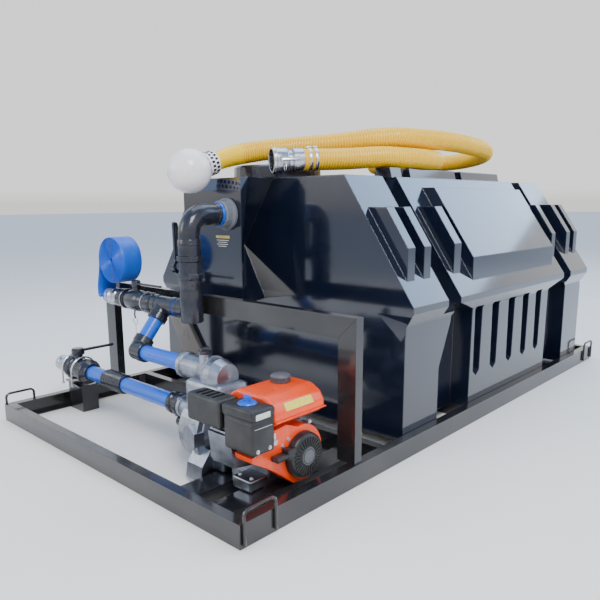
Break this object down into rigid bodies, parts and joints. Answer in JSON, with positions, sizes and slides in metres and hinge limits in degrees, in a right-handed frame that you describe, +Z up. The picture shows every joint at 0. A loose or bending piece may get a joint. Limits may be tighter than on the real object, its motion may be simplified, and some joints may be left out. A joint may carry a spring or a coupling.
{
  "type": "skid-mounted liquid waste tank with pump",
  "caption": "Liquid waste tank with sloping shoulders on a steel skid, with a petrol pump set, blue pipework and valves, and a coiled suction hose with a float.",
  "frame": {"origin": "under the middle of the skid, at the height of its underside", "axes": "+Z up, +Y from the pump's end to the far end along the skid, +X across the skid towards the engine"},
  "size_m": [1.6746, 2.89, 1.2828],
  "materials": {
    "black_steel": "gloss black enamel",
    "tank_black": "gloss black moulded polyethylene",
    "pipe_blue": "satin blue pipe",
    "fitting_black": "satin black plastic",
    "fitting_grey": "satin grey plastic",
    "aluminium": "bare casting",
    "layflat_blue": "ribbed soft sheet",
    "zinc": "bright zinc",
    "engine_orange": "gloss paint",
    "engine_black": "satin black",
    "cap_grey": "satin",
    "steel": "machined",
    "knob_blue": "gloss",
    "hose_yellow": "ribbed soft plastic",
    "float_white": "gloss"
  },
  "bodies": {
    "frame": {"rail_left": "black_steel", "rail_right": "black_steel", "bar_front": "black_steel", "bar_rear": "black_steel", "cross_member_pump": "black_steel", "cross_member_mid": "black_steel", "cross_member_rear": "black_steel", "bearer_left": "black_steel", "bearer_right": "black_steel", "post_left": "black_steel", "post_right": "black_steel", "post_beam": "black_steel", "handle_front_left": "black_steel", "handle_front_right": "black_steel", "handle_rear_left": "black_steel", "handle_rear_right": "black_steel", "valve_bracket": "black_steel", "tank_shell": "tank_black", "riser_foot": "fitting_black", "riser_elbow": "fitting_black", "riser_valve": "fitting_black", "manifold_tee": "fitting_black", "outlet_elbow": "fitting_black", "delivery_valve": "fitting_black", "suction_valve": "fitting_black", "suction_coupling": "fitting_black", "suction_union": "fitting_black", "pump_drain": "fitting_black", "bulkhead_fitting": "fitting_grey", "link_pipe": "pipe_blue", "outlet_pipe": "pipe_blue", "suction_pipe_outer": "pipe_blue", "suction_pipe_inner": "pipe_blue", "delivery_coupler": "aluminium", "suction_port": "aluminium", "pump_casing": "aluminium", "engine_block": "aluminium", "hose_coupler": "aluminium", "layflat_roll": "layflat_blue", "u_bolt_outer": "zinc", "u_bolt_inner": "zinc", "fan_shroud": "engine_orange", "fuel_tank": "engine_orange", "recoil_cover": "engine_black", "air_cleaner": "engine_black", "muffler_guard": "engine_black", "suction_hose": "hose_yellow", "float_ball": "float_white"},
    "riser_lever": {"riser_valve_lever": "fitting_black"},
    "delivery_lever": {"delivery_valve_lever": "fitting_black"},
    "suction_lever": {"suction_valve_lever": "fitting_black"},
    "front_cam_arm": {"cam_arm_front": "aluminium"},
    "back_cam_arm": {"cam_arm_back": "aluminium"},
    "lid": {"hatch_lid": "fitting_black"},
    "plug": {"priming_plug": "fitting_black"},
    "rotor": {"crankshaft": "steel"},
    "pull_grip": {"recoil_grip": "engine_black"},
    "filler_cap": {"fuel_cap": "cap_grey"},
    "cleaner_knob": {"air_cleaner_knob": "knob_blue"},
    "throttle": {"throttle_lever": "steel"}
  },
  "joints": [
    {"name": "riser_valve_turn", "type": "hinge", "parent": "frame", "child": "riser_lever", "pos_m": [-0.0823, -0.974, 0.701], "axis": [1, 0, 0], "range_deg": [0, 90]},
    {"name": "delivery_valve_turn", "type": "hinge", "parent": "frame", "child": "delivery_lever", "pos_m": [-0.411, -0.974, 0.5883], "axis": [0, 0, 1], "range_deg": [-90, 0]},
    {"name": "suction_valve_turn", "type": "hinge", "parent": "frame", "child": "suction_lever", "pos_m": [-0.711, -1.118, 0.2563], "axis": [0, 0, 1], "range_deg": [-90, 0]},
    {"name": "front_cam_arm_swing", "type": "hinge", "parent": "frame", "child": "front_cam_arm", "pos_m": [-0.5483, -1.01028, 0.56427], "axis": [0, 0.7071, 0.7071], "range_deg": [0, 100]},
    {"name": "back_cam_arm_swing", "type": "hinge", "parent": "frame", "child": "back_cam_arm", "pos_m": [-0.5483, -0.93773, 0.49173], "axis": [0, 0.7071, 0.7071], "range_deg": [-100, 0]},
    {"name": "hatch_lid_turn", "type": "hinge", "parent": "frame", "child": "lid", "pos_m": [-0.073, -0.411, 1.0585], "axis": [0, 0, 1], "continuous": true},
    {"name": "priming_plug_turn", "type": "hinge", "parent": "frame", "child": "plug", "pos_m": [0.268, -1.138, 0.4233], "axis": [0, 0, 1], "continuous": true},
    {"name": "crankshaft_turn", "type": "hinge", "parent": "frame", "child": "rotor", "pos_m": [0.5, -1.0974, 0.154], "axis": [1, 0, 0], "continuous": true},
    {"name": "recoil_pull", "type": "slide", "parent": "frame", "child": "pull_grip", "axis": [0, -1, 0], "range_m": [0, 0.028], "stiffness_N_per_m": 40},
    {"name": "fuel_cap_turn", "type": "hinge", "parent": "frame", "child": "filler_cap", "pos_m": [0.588, -1.0774, 0.372], "axis": [0, 0, 1], "continuous": true},
    {"name": "air_cleaner_knob_turn", "type": "hinge", "parent": "frame", "child": "cleaner_knob", "pos_m": [0.652, -1.286, 0.3603], "axis": [0, 0, 1], "continuous": true},
    {"name": "throttle_turn", "type": "hinge", "parent": "frame", "child": "throttle", "pos_m": [0.7003, -1.2254, 0.232], "axis": [1, 0, 0], "range_deg": [-30, 12]}
  ]
}
